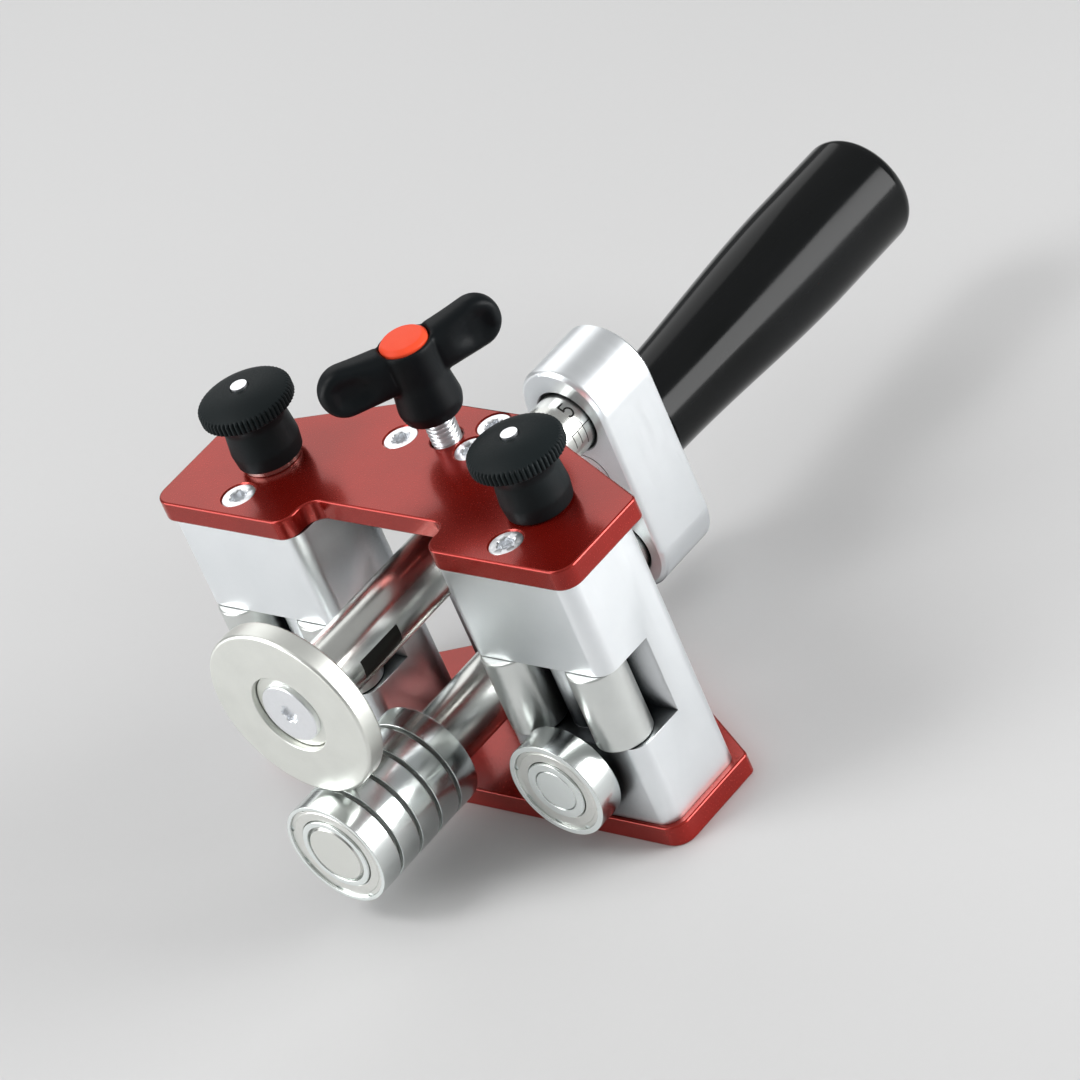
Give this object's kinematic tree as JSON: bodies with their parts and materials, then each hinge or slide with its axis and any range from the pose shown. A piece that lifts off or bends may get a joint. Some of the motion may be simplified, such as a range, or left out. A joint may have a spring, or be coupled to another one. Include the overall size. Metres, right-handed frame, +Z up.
{
  "type": "sheet metal edge bender",
  "caption": "Hand-pushed roller edge bender: two red plates on pillars with guide rollers, a sliding pair of shafts with a forming disc above a bearing roller, and a straight grip.",
  "frame": {"origin": "middle of the base plate, on its underside", "axes": "+X to the right, +Y along the shafts to the grip, +Z up from the base plate to the knobs"},
  "size_m": [0.14, 0.2468, 0.1198],
  "materials": {
    "red_anodised": "satin anodised",
    "bright_aluminium": "fine machined",
    "steel": "ground",
    "disc_steel": "turned",
    "bearing_steel": "polished",
    "shield_steel": "pressed sheet",
    "spring_steel": "drawn wire",
    "zinc_screw": "zinc plated",
    "black_screw": "black oxide",
    "brass": "turned",
    "grip_plastic": "glossy",
    "knob_plastic": "fine grain",
    "wing_plastic": "fine grain",
    "cap_plastic": "smooth"
  },
  "bodies": {
    "frame": {"top_plate": "red_anodised", "base_plate": "red_anodised", "left_pillar": "bright_aluminium", "right_pillar": "bright_aluminium", "guide_block": "bright_aluminium", "top_plate_screws": "zinc_screw", "base_plate_screws": "zinc_screw", "guide_roller_pins": "steel", "left_plunger_sleeve": "steel", "right_plunger_sleeve": "steel", "left_plunger_spring": "spring_steel", "right_plunger_spring": "spring_steel"},
    "carriage": {"upper_shaft": "steel", "lower_shaft": "steel", "handle_block": "bright_aluminium", "shaft_end_screws": "black_screw", "grip_bolt": "zinc_screw", "grip_insert": "brass", "grip": "grip_plastic", "roller_inner_rings": "bearing_steel", "roller_spacers": "spring_steel", "roller_balls": "bearing_steel", "disc_keeper": "disc_steel", "disc_screw": "zinc_screw"},
    "disc": {"forming_disc": "disc_steel", "disc_bush": "brass"},
    "roller_1": {"roller_ring_1": "bearing_steel", "roller_shields_1": "shield_steel"},
    "roller_2": {"roller_ring_2": "bearing_steel", "roller_shields_2": "shield_steel"},
    "roller_3": {"roller_ring_3": "bearing_steel", "roller_shields_3": "shield_steel"},
    "roller_4": {"roller_ring_4": "bearing_steel", "roller_shields_4": "shield_steel"},
    "roller_5": {"roller_ring_5": "bearing_steel", "roller_shields_5": "shield_steel"},
    "left_axle": {"left_side_axle": "steel", "left_side_inner_ring": "bearing_steel", "left_side_balls": "bearing_steel"},
    "left_side_roller": {"left_side_ring": "bearing_steel", "left_side_shields": "shield_steel"},
    "left_outer_guide": {"left_outer_guide_roller": "disc_steel"},
    "left_inner_guide": {"left_inner_guide_roller": "disc_steel"},
    "left_plunger": {"left_plunger_pin": "steel", "left_plunger_knob": "knob_plastic"},
    "right_axle": {"right_side_axle": "steel", "right_side_inner_ring": "bearing_steel", "right_side_balls": "bearing_steel"},
    "right_side_roller": {"right_side_ring": "bearing_steel", "right_side_shields": "shield_steel"},
    "right_outer_guide": {"right_outer_guide_roller": "disc_steel"},
    "right_inner_guide": {"right_inner_guide_roller": "disc_steel"},
    "right_plunger": {"right_plunger_pin": "steel", "right_plunger_knob": "knob_plastic"},
    "clamp_pad": {"clamp_pad": "brass"},
    "clamp_screw": {"clamp_stud": "zinc_screw", "wing_knob": "wing_plastic", "wing_cap": "cap_plastic"}
  },
  "joints": [
    {"name": "carriage_slide", "type": "slide", "parent": "frame", "child": "carriage", "axis": [0, 1, 0], "range_m": [-0.024, 0.03]},
    {"name": "disc_spin", "type": "hinge", "parent": "carriage", "child": "disc", "pos_m": [0, -0.067, 0.063], "axis": [0, 1, 0], "continuous": true},
    {"name": "roller_1_spin", "type": "hinge", "parent": "carriage", "child": "roller_1", "pos_m": [0, -0.0718, 0.0225], "axis": [0, 1, 0], "continuous": true},
    {"name": "roller_2_spin", "type": "hinge", "parent": "carriage", "child": "roller_2", "pos_m": [0, -0.0638, 0.0225], "axis": [0, 1, 0], "continuous": true},
    {"name": "roller_3_spin", "type": "hinge", "parent": "carriage", "child": "roller_3", "pos_m": [0, -0.0558, 0.0225], "axis": [0, 1, 0], "continuous": true},
    {"name": "roller_4_spin", "type": "hinge", "parent": "carriage", "child": "roller_4", "pos_m": [0, -0.0478, 0.0225], "axis": [0, 1, 0], "continuous": true},
    {"name": "roller_5_spin", "type": "hinge", "parent": "carriage", "child": "roller_5", "pos_m": [0, -0.0398, 0.0225], "axis": [0, 1, 0], "continuous": true},
    {"name": "left_axle_slide", "type": "slide", "parent": "frame", "child": "left_axle", "axis": [0, -1, 0], "range_m": [0, 0.005]},
    {"name": "left_side_roller_spin", "type": "hinge", "parent": "left_axle", "child": "left_side_roller", "pos_m": [-0.0455, -0.036, 0.0225], "axis": [0, 1, 0], "continuous": true},
    {"name": "left_outer_guide_spin", "type": "hinge", "parent": "frame", "child": "left_outer_guide", "pos_m": [-0.0595, -0.024, 0.0417], "axis": [0, 0, 1], "continuous": true},
    {"name": "left_inner_guide_spin", "type": "hinge", "parent": "frame", "child": "left_inner_guide", "pos_m": [-0.0315, -0.024, 0.0417], "axis": [0, 0, 1], "continuous": true},
    {"name": "left_plunger_pull", "type": "slide", "parent": "frame", "child": "left_plunger", "axis": [0, 0, 1], "range_m": [0, 0.0046], "stiffness_N_per_m": 800, "springref_m": -0.004, "deforming": ["left_plunger_spring"]},
    {"name": "right_axle_slide", "type": "slide", "parent": "frame", "child": "right_axle", "axis": [0, -1, 0], "range_m": [0, 0.005]},
    {"name": "right_side_roller_spin", "type": "hinge", "parent": "right_axle", "child": "right_side_roller", "pos_m": [0.0455, -0.036, 0.0225], "axis": [0, 1, 0], "continuous": true},
    {"name": "right_outer_guide_spin", "type": "hinge", "parent": "frame", "child": "right_outer_guide", "pos_m": [0.0595, -0.024, 0.0417], "axis": [0, 0, 1], "continuous": true},
    {"name": "right_inner_guide_spin", "type": "hinge", "parent": "frame", "child": "right_inner_guide", "pos_m": [0.0315, -0.024, 0.0417], "axis": [0, 0, 1], "continuous": true},
    {"name": "right_plunger_pull", "type": "slide", "parent": "frame", "child": "right_plunger", "axis": [0, 0, 1], "range_m": [0, 0.006], "stiffness_N_per_m": 800, "springref_m": -0.004, "deforming": ["right_plunger_spring"]},
    {"name": "clamp_pad_slide", "type": "slide", "parent": "frame", "child": "clamp_pad", "axis": [0, 0, 1], "range_m": [0, 0.0025]},
    {"name": "wing_turn", "type": "hinge", "parent": "clamp_pad", "child": "clamp_screw", "pos_m": [0, 0.0095, 0.087], "axis": [0, 0, 1], "range_deg": [0, 720]}
  ],
  "couplings": [
    {"joint": "wing_turn", "follows": "clamp_pad_slide", "rad_per_m": 5026.5}
  ]
}
